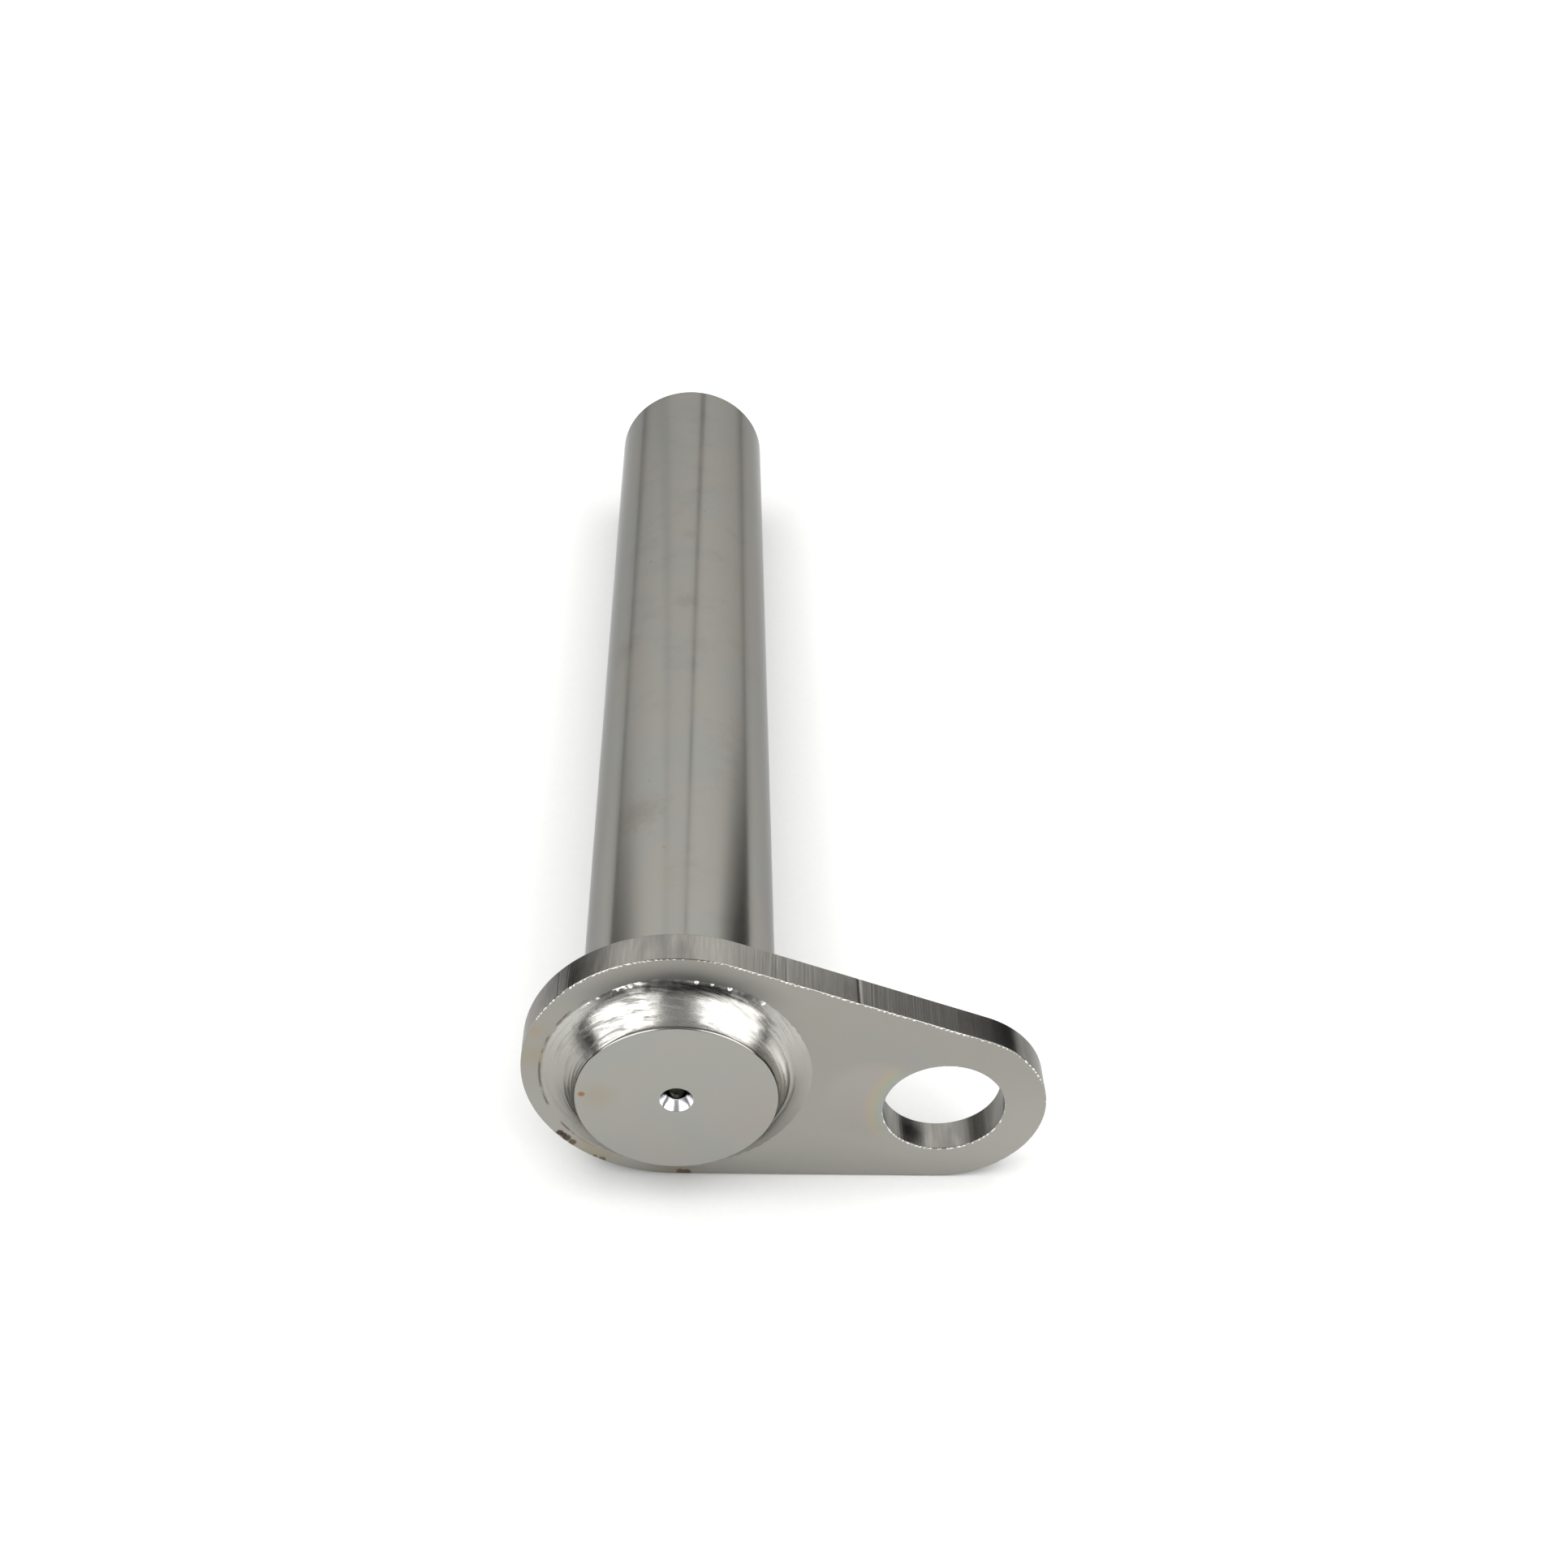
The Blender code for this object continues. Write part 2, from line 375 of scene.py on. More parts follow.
def plain_hole(angle, depth, out):
    """No marks: this hole is filled by the bar."""
    return 0 * (angle + depth), 0 * (angle + depth)


face_x, face_z = outline(distance, FLAG_EDGE * 2)
on_lower = np.flatnonzero((distance > run_ends[1]) & (distance < run_ends[2]))
on_upper = np.flatnonzero(distance > run_ends[3])
low_end = on_lower[np.abs(face_x[on_lower] - DIVIDER_X).argmin()]
high_end = on_upper[np.abs(face_x[on_upper] - DIVIDER_X).argmin()]
rise = np.linspace(0, 1, DIVIDER_POINTS + 2)[1:-1]
divider_x = face_x[low_end] + rise * (face_x[high_end] - face_x[low_end])
divider_z = face_z[low_end] + rise * (face_z[high_end] - face_z[low_end])
pin_side = np.concatenate([np.arange(high_end, OUTLINE_COLUMNS), np.arange(low_end + 1)])
bolt_side = np.arange(low_end, high_end + 1)
pin_half = half_grid(
    np.concatenate([face_x[pin_side], divider_x]),
    np.concatenate([face_z[pin_side], divider_z]),
    0.0, 0.0, PIN_HOLE_RADIUS, PIN_HOLE_EDGE, plain_hole,
)
bolt_half = half_grid(
    np.concatenate([face_x[bolt_side], divider_x[::-1]]),
    np.concatenate([face_z[bolt_side], divider_z[::-1]]),
    BOLT_X, BOLT_Z, BOLT_HOLE_RADIUS, FLAG_EDGE, bolt_hole_marks,
)
flag = skin("cut_flag", [edge_grid, pin_half, bolt_half], "locking_flag")

# %% [markdown]
# ## The weld
#
# The weld is one pass of a fillet, smoothed over by the plating. Its section is hollow: the face stands
# steep at the bar and runs out flat on the flag. The circle of its toe sits a little below the bar's
# axis, because the pass was laid heavier at the bottom, and it wanders. Fine streaks follow the travel
# of the torch, a shallow groove runs along each side, and a few beads of spatter sit on the toe. A bead
# sculpted by hand could not be changed or made again, so here the section is a function of the angle
# round the bar and the place across the face, and the whole bead is one closed grid.

# %% Make the weld
WELD_COLUMNS = 1000
WELD_ROWS = 72
FOOT_LEAN = math.radians(14)
TOE_LEAN = math.radians(76)
FOOT_HEIGHT = HEAD_PROUD - 0.5 * MM
TOE_RADIUS = 20.1 * MM
TOE_DROP = 0.95 * MM  # how far the toe's circle sits below the bar's axis
TOE_WANDER, FOOT_WANDER, TOE_RAGGED = 0.09 * MM, 0.10 * MM, 0.035 * MM
SWELL, STREAK, PATCH, SIDE_GROOVE = 0.05, 0.006, 0.004, 0.09  # heights of the relief, in mm
TOE_LIP_HEIGHT = 0.10 * MM
SINK = 0.25 * MM  # how deep the weld's hidden sides go into the bar and the flag
TOE_STEP = 0.02 * MM  # how far the toe steps back before it goes into the flag
SPATTER = [  # around the bar in degrees from up, place from foot to toe, size in mm
    (8, 0.965, 0.24),
    (23, 0.95, 0.26),
    (40, 0.955, 0.26),
    (15, 0.97, 0.18),
    (-21, 0.96, 0.24),
]

weld_angle = np.arange(WELD_COLUMNS) * 2 * np.pi / WELD_COLUMNS
place = np.linspace(0, 1, WELD_ROWS)[:, None]


def round_waves(draw, angle, across, turns, cycles, count):
    """An uneven field on a ring: a sum of sines, each a whole number of turns round, so the seam closes.

    Each wave is sin(turn*angle + cycle*across + phase), with turn up to turns, cycle up to cycles and
    an amplitude that falls as the wave gets finer. The field is scaled to a spread of about 1.
    """
    turn = draw.integers(-turns, turns + 1, count)
    cycle = draw.uniform(0.15, 1.0, count) * cycles
    phase = draw.uniform(0, 2 * np.pi, count)
    size = 1 / np.sqrt(0.3 + np.abs(turn) / max(turns, 1) + cycle / max(cycles, 1e-9))
    field = np.zeros(np.broadcast(angle, across).shape)
    for m, k, p, a in zip(turn, cycle, phase, size):
        field += a * np.sin(m * angle + k * across + p)
    return field / np.sqrt((size**2).sum() / 2)


def weld_section(angle, place):
    """Radius, height and lean of the weld's face at an angle from up and a place from foot to toe.

    The normal leans from the foot's angle to the toe's. The face is the arc that such a normal draws,
    stretched to the two legs: outwards by cos(foot)-cos(lean), down by sin(lean)-sin(foot).
    """
    wander = ring_waves(draw, angle, 2, 9, 7)
    ragged = ring_waves(draw, angle, 14, 90, 26)
    toe = TOE_RADIUS - TOE_DROP * np.cos(angle) + TOE_WANDER * wander
    foot_height = FOOT_HEIGHT + FOOT_WANDER * ring_waves(draw, angle, 2, 8, 6)
    lean = FOOT_LEAN + (TOE_LEAN - FOOT_LEAN) * place
    outward = (math.cos(FOOT_LEAN) - np.cos(lean)) / (math.cos(FOOT_LEAN) - math.cos(TOE_LEAN))
    fall = (np.sin(lean) - math.sin(FOOT_LEAN)) / (math.sin(TOE_LEAN) - math.sin(FOOT_LEAN))
    radius = PIN_RADIUS + (toe - PIN_RADIUS) * outward + TOE_RAGGED * ragged * outward**10
    return radius, foot_height * (1 - fall), lean


def weld_relief(angle, place):
    """Height of the bead's unevenness: slow swells, streaks along the travel, and a groove at each side."""
    swell = round_waves(draw, angle, place, 7, 5, 16)
    streak = round_waves(draw, angle, place, 9, 70, 60)
    patch = round_waves(draw, angle, place, 46, 26, 60)
    at_sides = np.sin(angle) ** 2 * (0.7 + 0.3 * np.sin(angle))
    groove = bell(place, 0.52 + 0.05 * np.sin(2 * angle + 0.6), 0.05) * at_sides
    edges = np.sin(np.pi * place) ** 0.5
    return (SWELL * swell + STREAK * streak + PATCH * patch - SIDE_GROOVE * groove) * MM * edges


radius, height, lean = weld_section(weld_angle, place)
relief = weld_relief(weld_angle, place)
turned = np.degrees(np.arctan2(np.sin(weld_angle), np.cos(weld_angle)))  # from -180 to 180, 0 is up
upper_left = bell(turned, -33, 15)
toe_lip = (0.4 + 0.6 * ring_waves(draw, weld_angle, 20, 110, 30)).clip(0) * upper_left
relief = relief + TOE_LIP_HEIGHT * toe_lip * bell(place, 0.965, 0.02)
for around, where, bead in SPATTER:
    relief = relief + 0.6 * bead * MM * bell(turned, around, bead * 1.6) * bell(place, where, bead * 0.12)
radius = radius + relief * np.cos(lean)
height = (height + relief * np.sin(lean)).clip(0.0)
hidden = np.array([(-SINK, -SINK), (-SINK, FOOT_HEIGHT * 0.9)])
hidden_radius = PIN_RADIUS + hidden[:, :1] + 0 * weld_angle
hidden_height = hidden[:, 1:] + 0 * weld_angle
radius = np.concatenate([radius, radius[-1:] - TOE_STEP, hidden_radius, radius[:1]])
height = np.concatenate([height, height[-1:] - SINK, hidden_height, height[:1]])
weld_grid = np.stack(
    [radius * np.sin(weld_angle), FLAG_FRONT_Y - height, radius * np.cos(weld_angle)], axis=-1
)
weld = skin("weld_bead", [weld_grid], "fillet_weld", sharp=math.radians(60))

# %% [markdown]
# ## Zinc finishes
#
# Zinc plate is a bright metal with a thin clear film on it. The metal blurs what it mirrors and the
# film mirrors it faintly but sharply, so each finish is a metallic base under a thin coat. Steel shows
# through as grain: drawn lines on the bar, rolled grain on the plate. The colour drifts a little
# where the film is thicker, and rust starts where the plating missed. All patterns read Object
# coordinates, because the pieces sit in their real places and the patterns must not slide.
#
# Every finish is built in the same order: a base colour, other colours laid over it through masks, the
# roughness, and then the bumps. The first helpers make the material and its nodes.

# %% Node helpers
EDGE_TINT = 0.5  # how much of the metal's extra brightness at a grazing angle is kept


def finish(name, color, roughness, coat, coat_roughness, edge_tint=EDGE_TINT):
    """A metallic Principled material, with its node tree and shader."""
    material = bpy.data.materials.new(name)
    material.use_nodes = True
    tree = material.node_tree
    shader = tree.nodes["Principled BSDF"]
    shader.inputs["Metallic"].default_value = 1.0
    shader.inputs["Base Color"].default_value = (*color, 1.0)
    shader.inputs["Roughness"].default_value = roughness
    shader.inputs["Specular Tint"].default_value = (edge_tint, edge_tint, edge_tint, 1.0)
    shader.inputs["Coat Weight"].default_value = coat
    shader.inputs["Coat Roughness"].default_value = coat_roughness
    return material, tree, shader


def add_finish(piece, material):
    """Puts a material at the end of a piece's list. The first in the list covers the whole piece."""
    piece.data.materials.append(material)
    print(material.name, "made from", len(material.node_tree.nodes), "nodes")


def node(tree, kind, links=(), **values):
    """A node with its settings, and its inputs linked by (input name or number, socket)."""
    made = tree.nodes.new(kind)
    for key, value in values.items():
        setattr(made, key, value)
    for key, source in links:
        if hasattr(source, "is_output"):
            tree.links.new(source, made.inputs[key])
        else:
            made.inputs[key].default_value = source
    return made


def math_node(tree, operation, a, b=None):
    """The output of a Math node on one or two sockets or numbers."""
    links = [(0, a)] if b is None else [(0, a), (1, b)]
    return node(tree, "ShaderNodeMath", links, operation=operation).outputs[0]


def product(tree, *factors):
    """All the factors multiplied together, from the first to the last."""
    result = factors[0]
    for factor in factors[1:]:
        result = math_node(tree, "MULTIPLY", result, factor)
    return result


def object_place(tree):
    """The Object coordinates of the point that is shaded."""
    return node(tree, "ShaderNodeTexCoord").outputs["Object"]


def distance_from(tree, point):
    """How far the shaded point is from a fixed one."""
    ends = [(0, object_place(tree)), (1, point)]
    return node(tree, "ShaderNodeVectorMath", ends, operation="DISTANCE").outputs["Value"]


print("share of the grazing brightness kept:", EDGE_TINT)

# %% [markdown]
# ## Patterns and layers
#
# A pattern is noise in Object coordinates, drawn out along the piece where the grain runs. A mask is a
# pattern or a place turned into a number from 0 to 1, and a layer is a colour laid through a mask.
# Small stains and rust are spots: round masks at a given place, with a border that noise makes ragged.
# The colours that several finishes share are named here.


# %% Pattern and layer helpers
def stretched_noise(tree, scale, stretch, detail, rough):
    """Noise in Object coordinates, its grain drawn out along the axes by a Mapping node."""
    mapped = node(tree, "ShaderNodeMapping", [("Vector", object_place(tree)), ("Scale", stretch)]).outputs[0]
    links = [("Vector", mapped), ("Scale", scale), ("Detail", detail), ("Roughness", rough)]
    return node(tree, "ShaderNodeTexNoise", links).outputs["Fac"]


def remap(tree, value, low, high, to_low, to_high, smooth=False):
    """A value moved from one range to another and kept inside it."""
    kind = "SMOOTHSTEP" if smooth else "LINEAR"
    links = [("Value", value), ("From Min", low), ("From Max", high)]
    links += [("To Min", to_low), ("To Max", to_high)]
    return node(tree, "ShaderNodeMapRange", links, interpolation_type=kind).outputs["Result"]


def fade(tree, value, none, full, most=1.0):
    """A smooth mask, 0 where the value is at none and most where it is at full."""
    if none < full:
        return remap(tree, value, none, full, 0.0, most, True)
    return remap(tree, value, full, none, most, 0.0, True)


def blend(tree, factor, a, b):
    """A mix of two colours, each a socket or an RGB triple."""
    mix = node(tree, "ShaderNodeMix", data_type="RGBA")
    tree.links.new(factor, mix.inputs["Factor"])
    for number, value in ((6, a), (7, b)):
        if hasattr(value, "is_output"):
            tree.links.new(value, mix.inputs[number])
        else:
            mix.inputs[number].default_value = (*value, 1.0)
    return mix.outputs[2]


def lay(tree, base, color, *factors):
    """A colour laid over the base, as strongly as the factors multiplied together say."""
    return blend(tree, product(tree, *factors), base, color)


def spot(tree, center, size, wobble=0.35, softness=0.2):
    """A patch round a point, 1 inside and 0 outside, with a soft border made ragged by noise."""
    away = distance_from(tree, center)
    ragged = stretched_noise(tree, 2.2 / size, (1, 1, 1), 4.0, 0.7)
    grown = math_node(tree, "ADD", away, product(tree, ragged, size * wobble * 2))
    inner, outer = 0.95 + wobble - softness, 0.95 + wobble + softness
    return remap(tree, grown, size * inner, size * outer, 1.0, 0.0, True)


def bumps(tree, shader, layers):
    """A chain of Bump nodes, from (height socket, strength, depth) layers, into the shader's normal."""
    normal = None
    for height, strength, depth in layers:
        links = [("Height", height), ("Strength", strength), ("Distance", depth)]
        if normal is not None:
            links.append(("Normal", normal))
        normal = node(tree, "ShaderNodeBump", links).outputs["Normal"]
    tree.links.new(normal, shader.inputs["Normal"])


ZINC = (0.282, 0.278, 0.258)
ZINC_COOL = (0.274, 0.276, 0.262)
ZINC_WARM = (0.290, 0.281, 0.254)
ZINC_ROSY = (0.305, 0.268, 0.242)
RUST_DARK = (0.030, 0.014, 0.008)
RUST_ORANGE = (0.22, 0.10, 0.03)
STAIN = (0.28, 0.225, 0.135)
STAIN_DARK = (0.17, 0.145, 0.11)
print("zinc runs from", ZINC_COOL, "to", ZINC_WARM)

# %% [markdown]
# ## The bar's finish
#
# Drawing leaves faint lines along the bar, so its noise is stretched a long way along Y. A cloudier
# noise moves the colour and the roughness a little, which is the slight mottling that plated bar has.
# Handling has left a few soft stains. Small nicks on the tip's chamfer get a near-white base, which
# paints glints on them, a painted highlight. A painted picture could carry all of it, but noise and a
# few placed spots keep it sharp at any distance.

# %% Finish the bar
BAR_EDGE_TINT = 0.42  # less than on the other pieces, because drawn bar dulls towards its sides
BAR_WIPED = (0.20, 0.197, 0.183)
BAR_SPECK = (0.17, 0.16, 0.14)
BAR_NICK_GLINT = (0.9, 0.89, 0.86)
BAR_STAINS = [  # x, y, size in mm; amount
    (-6.7, -141.0, 3.4, 0.35),
    (-0.4, -82.0, 1.8, 0.25),
    (-11.0, -91.0, 2.6, 0.25),
    (0.1, -59.0, 1.4, 0.15),
]
TIP_NICK_GLINTS = [  # x, y, size in mm
    (12.7, -0.7, 0.28),
    (13.2, -1.3, 0.22),
    (12.2, -0.3, 0.2),
    (2.5, -1.4, 0.25),
    (-13.0, -1.2, 0.2),
]
TIP_GLINT_RADIUS = PIN_RADIUS - 0.3 * MM

bar_material, tree, shader = finish("zinc_on_bar", ZINC, 0.15, 0.25, 0.05, BAR_EDGE_TINT)
drawn = stretched_noise(tree, 900, (1, 0.02, 1), 3.0, 0.6)
cloud = stretched_noise(tree, 70, (1, 0.6, 1), 4.0, 0.6)
grain = stretched_noise(tree, 1800, (1, 0.7, 1), 2.0, 0.6)
wiped = stretched_noise(tree, 110, (1, 1.3, 1), 5.0, 0.7)
speck = stretched_noise(tree, 900, (1, 1, 1), 2.0, 0.5)
base = blend(tree, fade(tree, cloud, 0.35, 0.65), ZINC_COOL, ZINC_WARM)
base = lay(tree, base, BAR_WIPED, fade(tree, wiped, 0.48, 0.72, 0.22))
base = lay(tree, base, BAR_SPECK, fade(tree, speck, 0.70, 0.80, 0.5))
for x, y, size, amount in BAR_STAINS:
    height = math.sqrt(PIN_RADIUS**2 - (x * MM) ** 2)
    stain = spot(tree, (x * MM, y * MM, height), size * MM, 0.9, 0.9)
    base = lay(tree, base, STAIN_DARK, stain, amount)
# small nicks on the tip's chamfer with a near-white base: painted glints
for x, y, size in TIP_NICK_GLINTS:
    height = math.sqrt(TIP_GLINT_RADIUS**2 - (x * MM) ** 2)
    base = lay(tree, base, BAR_NICK_GLINT, spot(tree, (x * MM, y * MM, height), size * MM))
tree.links.new(base, shader.inputs["Base Color"])
rough = remap(tree, cloud, 0.3, 0.7, 0.13, 0.19)
rough = math_node(tree, "ADD", rough, product(tree, drawn, 0.05))
tree.links.new(rough, shader.inputs["Roughness"])
bumps(tree, shader, [(drawn, 0.10, 0.02 * MM), (grain, 0.06, 0.012 * MM)])
add_finish(bar, bar_material)

# %% [markdown]
# ## The turned end faces
#
# Both ends were faced in a lathe, which leaves fine rings and a duller surface than drawing does. Rings
# as geometry would cost many faces for a hundredth of a millimetre. Bumps that depend only on the
# distance from the axis give them instead, on the faces that look along the bar. The head face also has
# a rosy cloud, a pale yellow streak and one dot of rust.


# %% Finish the turned end faces
def face_values(piece, what):
    """One row of three numbers for each face of a piece: its "normal" or its "center"."""
    values = np.empty(len(piece.data.polygons) * 3)
    piece.data.polygons.foreach_get(what, values)
    return values.reshape(-1, 3)


def use_finish(piece, number, chosen):
    """Gives the faces that a boolean array picks the piece's material of that number."""
    index = np.empty(len(piece.data.polygons), np.int32)
    piece.data.polygons.foreach_get("material_index", index)
    piece.data.polygons.foreach_set("material_index", np.where(chosen, number, index).astype(np.int32))
    piece.data.update()
    print(piece.data.materials[number].name, "on", int(chosen.sum()), "faces of", piece.name)


def from_bar_axis(tree, drop=0.0):
    """How far the shaded point is from the bar's axis, or from a line that lies a drop below the axis.

    It is the length of the point's position with Y left out, after the position is raised by the drop.
    """
    place = object_place(tree)
    if drop:
        raised = [(0, place), (1, (0, 0, drop))]
        place = node(tree, "ShaderNodeVectorMath", raised, operation="ADD").outputs[0]
    flat = node(tree, "ShaderNodeVectorMath", [(0, place), (1, (1, 0, 1))], operation="MULTIPLY").outputs[0]
    return node(tree, "ShaderNodeVectorMath", [(0, flat)], operation="LENGTH").outputs["Value"]


def turning_marks(tree, spacing):
    """Rings round the bar's axis: noise of the distance from it, with one change in each spacing."""
    rings = node(tree, "ShaderNodeTexNoise", noise_dimensions="1D")
    tree.links.new(product(tree, from_bar_axis(tree), 1 / spacing), rings.inputs["W"])
    return rings.outputs["Fac"]


face_material, tree, shader = finish("zinc_on_end_faces", ZINC, 0.36, 0.25, 0.2)
cloud = stretched_noise(tree, 60, (1, 1, 1), 4.0, 0.6)
base = blend(tree, fade(tree, cloud, 0.3, 0.7), ZINC_COOL, ZINC_WARM)
rosy = spot(tree, (11.5 * MM, HEAD_Y, -4.0 * MM), 5.5 * MM, 0.4, 0.8)
streak = spot(tree, (-11.6 * MM, HEAD_Y, 0.8 * MM), 2.2 * MM, 0.6, 0.9)
rust_dot = spot(tree, (-13.9 * MM, HEAD_Y, 1.1 * MM), 0.5 * MM)
base = lay(tree, base, ZINC_ROSY, rosy, 0.35)
base = lay(tree, base, STAIN, streak, 0.35)
base = lay(tree, base, RUST_ORANGE, rust_dot, 0.85)
tree.links.new(base, shader.inputs["Base Color"])
tree.links.new(remap(tree, cloud, 0.3, 0.7, 0.34, 0.40), shader.inputs["Roughness"])
bumps(tree, shader, [(turning_marks(tree, 0.12 * MM), 0.12, 0.01 * MM)])
add_finish(bar, face_material)
use_finish(bar, 1, np.abs(face_values(bar, "normal")[:, 1]) > 0.95)

# %% [markdown]
# ## The lathe centre
#
# The cone was cut by a centre drill and kept its shine. Its base is also raised far above the zinc's, a
# painted highlight, so that the side walls it mirrors show as two white patches. It is the same kind of
# finish with a brighter, smoother base and closer rings. Its faces are picked by their middles, which lie
# inside the mouth, between the head face and the cone's bottom.

# %% Finish the lathe centre
# the raised base is a painted highlight: the walls mirrored in the cone show white
CENTRE_HIGHLIGHT_DIM, CENTRE_HIGHLIGHT_BRIGHT = (0.60, 0.60, 0.62), (0.76, 0.76, 0.78)

centre_highlight_material, tree, shader = finish("zinc_in_lathe_centre_with_painted_highlight", (0.68, 0.68, 0.70), 0.16, 0.2, 0.05)
rings = turning_marks(tree, 0.05 * MM)
tree.links.new(blend(tree, rings, CENTRE_HIGHLIGHT_DIM, CENTRE_HIGHLIGHT_BRIGHT), shader.inputs["Base Color"])
tree.links.new(remap(tree, rings, 0.3, 0.7, 0.12, 0.2), shader.inputs["Roughness"])
bumps(tree, shader, [(rings, 0.2, 0.01 * MM)])
add_finish(bar, centre_highlight_material)
middles = face_values(bar, "center")
in_cone = np.hypot(middles[:, 0], middles[:, 2]) < CENTRE_MOUTH
in_cone &= (middles[:, 1] > HEAD_Y + 0.01 * MM) & (middles[:, 1] < HEAD_Y + CENTRE_CONE_DEPTH)
use_finish(bar, 2, in_cone)

# %% [markdown]
# ## The flag's finish
#
# Rolled plate is rougher than the bar and a touch darker, and its base is painted paler towards the
# bottom, as painted light. Beside the bolt hole, on the side towards the bar, the film thins out and
# shows a faint rainbow, which is a ring of changing tint. The rim at the lower left was missed by the
# plating, so it carries brown scale, and small yellow stains sit near it and beside the weld. Above the
# weld a painted shade makes the plate greyer, and at its left a broken brown line of flux follows the
# toe. Each of these is one colour laid over the last through its own mask, so that any of them can be
# moved alone.

# %% Finish the flag
PLATE_COOL, PLATE_WARM, PLATE_PAINTED_LIGHT = (0.249, 0.248, 0.230), (0.263, 0.253, 0.226), (0.322, 0.315, 0.289)
PLATE_FLUX, PLATE_PAINTED_SHADE = (0.075, 0.045, 0.032), (0.155, 0.155, 0.145)
RAINBOW = [  # place across the ring, colour
    (0.0, (0.27, 0.30, 0.29)),
    (0.35, (0.29, 0.305, 0.235)),
    (0.65, (0.345, 0.29, 0.215)),
    (1.0, (0.30, 0.278, 0.258)),
]
RAINBOW_WIDTH = 3.2 * MM
SCALE_SPOTS = [  # x, z, size in mm
    (-17.8, -13.9, 0.6),
    (-17.3, -14.4, 0.55),
    (-16.8, -15.1, 0.7),
    (-16.0, -16.1, 0.65),
    (-11.5, -20.0, 0.6),
    (-12.6, -19.3, 0.4),
    (0.6, -22.7, 0.6),
    (1.6, -22.9, 0.7),
]
STAIN_SPOTS = [  # x, z, size in mm; amount
    (-20.8, 8.5, 1.6, 0.4),
    (-21.2, 3.0, 1.8, 0.4),
    (-13.0, -18.4, 3.6, 0.45),
    (0.0, -21.9, 2.6, 0.45),
]
FLUX_LINE_AT = TOE_RADIUS + 0.4 * MM


def object_axes(tree):
    """The Object coordinates of the shaded point as separate X, Y and Z sockets."""
    return node(tree, "ShaderNodeSeparateXYZ", [(0, object_place(tree))]).outputs


def lay_scale(tree, base):
    """Brown scale laid over the base at the spots on the rim that the plating missed."""
    for x, z, size in SCALE_SPOTS:
        scale = spot(tree, (x * MM, FLAG_FRONT_Y, z * MM), size * MM, 0.5)
        base = lay(tree, base, RUST_DARK, scale, 0.9)
    return base


flag_material, tree, shader = finish("zinc_on_plate", ZINC, 0.34, 0.3, 0.12)
cloud = stretched_noise(tree, 55, (1, 1, 1), 5.0, 0.65)
grain = stretched_noise(tree, 2200, (1, 1, 1), 3.0, 0.6)
rolled = stretched_noise(tree, 700, (0.15, 1, 1), 3.0, 0.6)
patches = stretched_noise(tree, 260, (1, 1, 1), 4.0, 0.6)
axes = object_axes(tree)
base = blend(tree, fade(tree, cloud, 0.35, 0.65), PLATE_COOL, PLATE_WARM)
# painted light: the plate's base grows paler towards the bottom
base = lay(tree, base, PLATE_PAINTED_LIGHT, fade(tree, axes["Z"], 6 * MM, -21 * MM))

from_hole = distance_from(tree, (BOLT_X, FLAG_FRONT_Y, BOLT_Z))
film = remap(tree, from_hole, BOLT_HOLE_RADIUS, BOLT_HOLE_RADIUS + RAINBOW_WIDTH, 0.0, 1.0)
ramp = node(tree, "ShaderNodeValToRGB", [("Fac", film)])
ramp.color_ramp.elements.remove(ramp.color_ramp.elements[1])
for at, color in RAINBOW:
    point = ramp.color_ramp.elements[0] if at == 0 else ramp.color_ramp.elements.new(at)
    point.color = (*color, 1.0)
toward_pin = spot(tree, (BOLT_X - 11 * MM, FLAG_FRONT_Y, BOLT_Z + 1.5 * MM), 8 * MM, 0.2)
base = lay(tree, base, ramp.outputs["Color"], toward_pin, 0.75)

base = lay_scale(tree, base)
for x, z, size, amount in STAIN_SPOTS:
    stain = spot(tree, (x * MM, FLAG_FRONT_Y, z * MM), size * MM, 0.7, 0.9)
    base = lay(tree, base, STAIN, stain, amount)

from_toe_middle = from_bar_axis(tree, TOE_DROP)
off_line = math_node(tree, "ABSOLUTE", math_node(tree, "SUBTRACT", from_toe_middle, FLUX_LINE_AT))
flux_line = fade(tree, off_line, 0.28 * MM, 0.05 * MM, 0.75)
at_left = remap(tree, axes["X"], -16 * MM, -12 * MM, 1.0, 0.0)
base = lay(tree, base, PLATE_FLUX, flux_line, at_left, fade(tree, patches, 0.42, 0.58))
# painted shade: the plate is greyer in a band above the weld
weld_shade = fade(tree, from_toe_middle, TOE_RADIUS + 4.4 * MM, TOE_RADIUS, 0.85)
base = lay(tree, base, PLATE_PAINTED_SHADE, weld_shade, fade(tree, axes["Z"], 12 * MM, 19 * MM))
tree.links.new(base, shader.inputs["Base Color"])
tree.links.new(remap(tree, cloud, 0.3, 0.7, 0.30, 0.40), shader.inputs["Roughness"])
bumps(tree, shader, [(rolled, 0.08, 0.02 * MM), (grain, 0.12, 0.014 * MM)])
add_finish(flag, flag_material)

# %% [markdown]
# ## The cut edges
#
# The laser leaves a bright, striped wall. The grooves are in the mesh already, and this finish adds
# their colour: noise that is fine along the cut and drawn out across the plate. Patches of it are
# darker, and near-black spots at the bolt end and at the upper left of the pin end are painted shade.
# The scale spots are laid again here, because they run over the rim from the face. Faces that don't look
# along the bar's axis take this finish.

# %% Finish the cut edges
EDGE_DIM, EDGE_BRIGHT, EDGE_PATCH = (0.275, 0.268, 0.25), (0.318, 0.31, 0.289), (0.15, 0.147, 0.138)
EDGE_SHADE = (0.06, 0.06, 0.062)
EDGE_SHADE_SPOTS = [  # x, z, size in mm; amount
    (36.4, -15.8, 1.7, 0.9),
    (47.7, 6.3, 5.0, 0.55),
    (-17.0, 15.9, 4.5, 0.5),
]

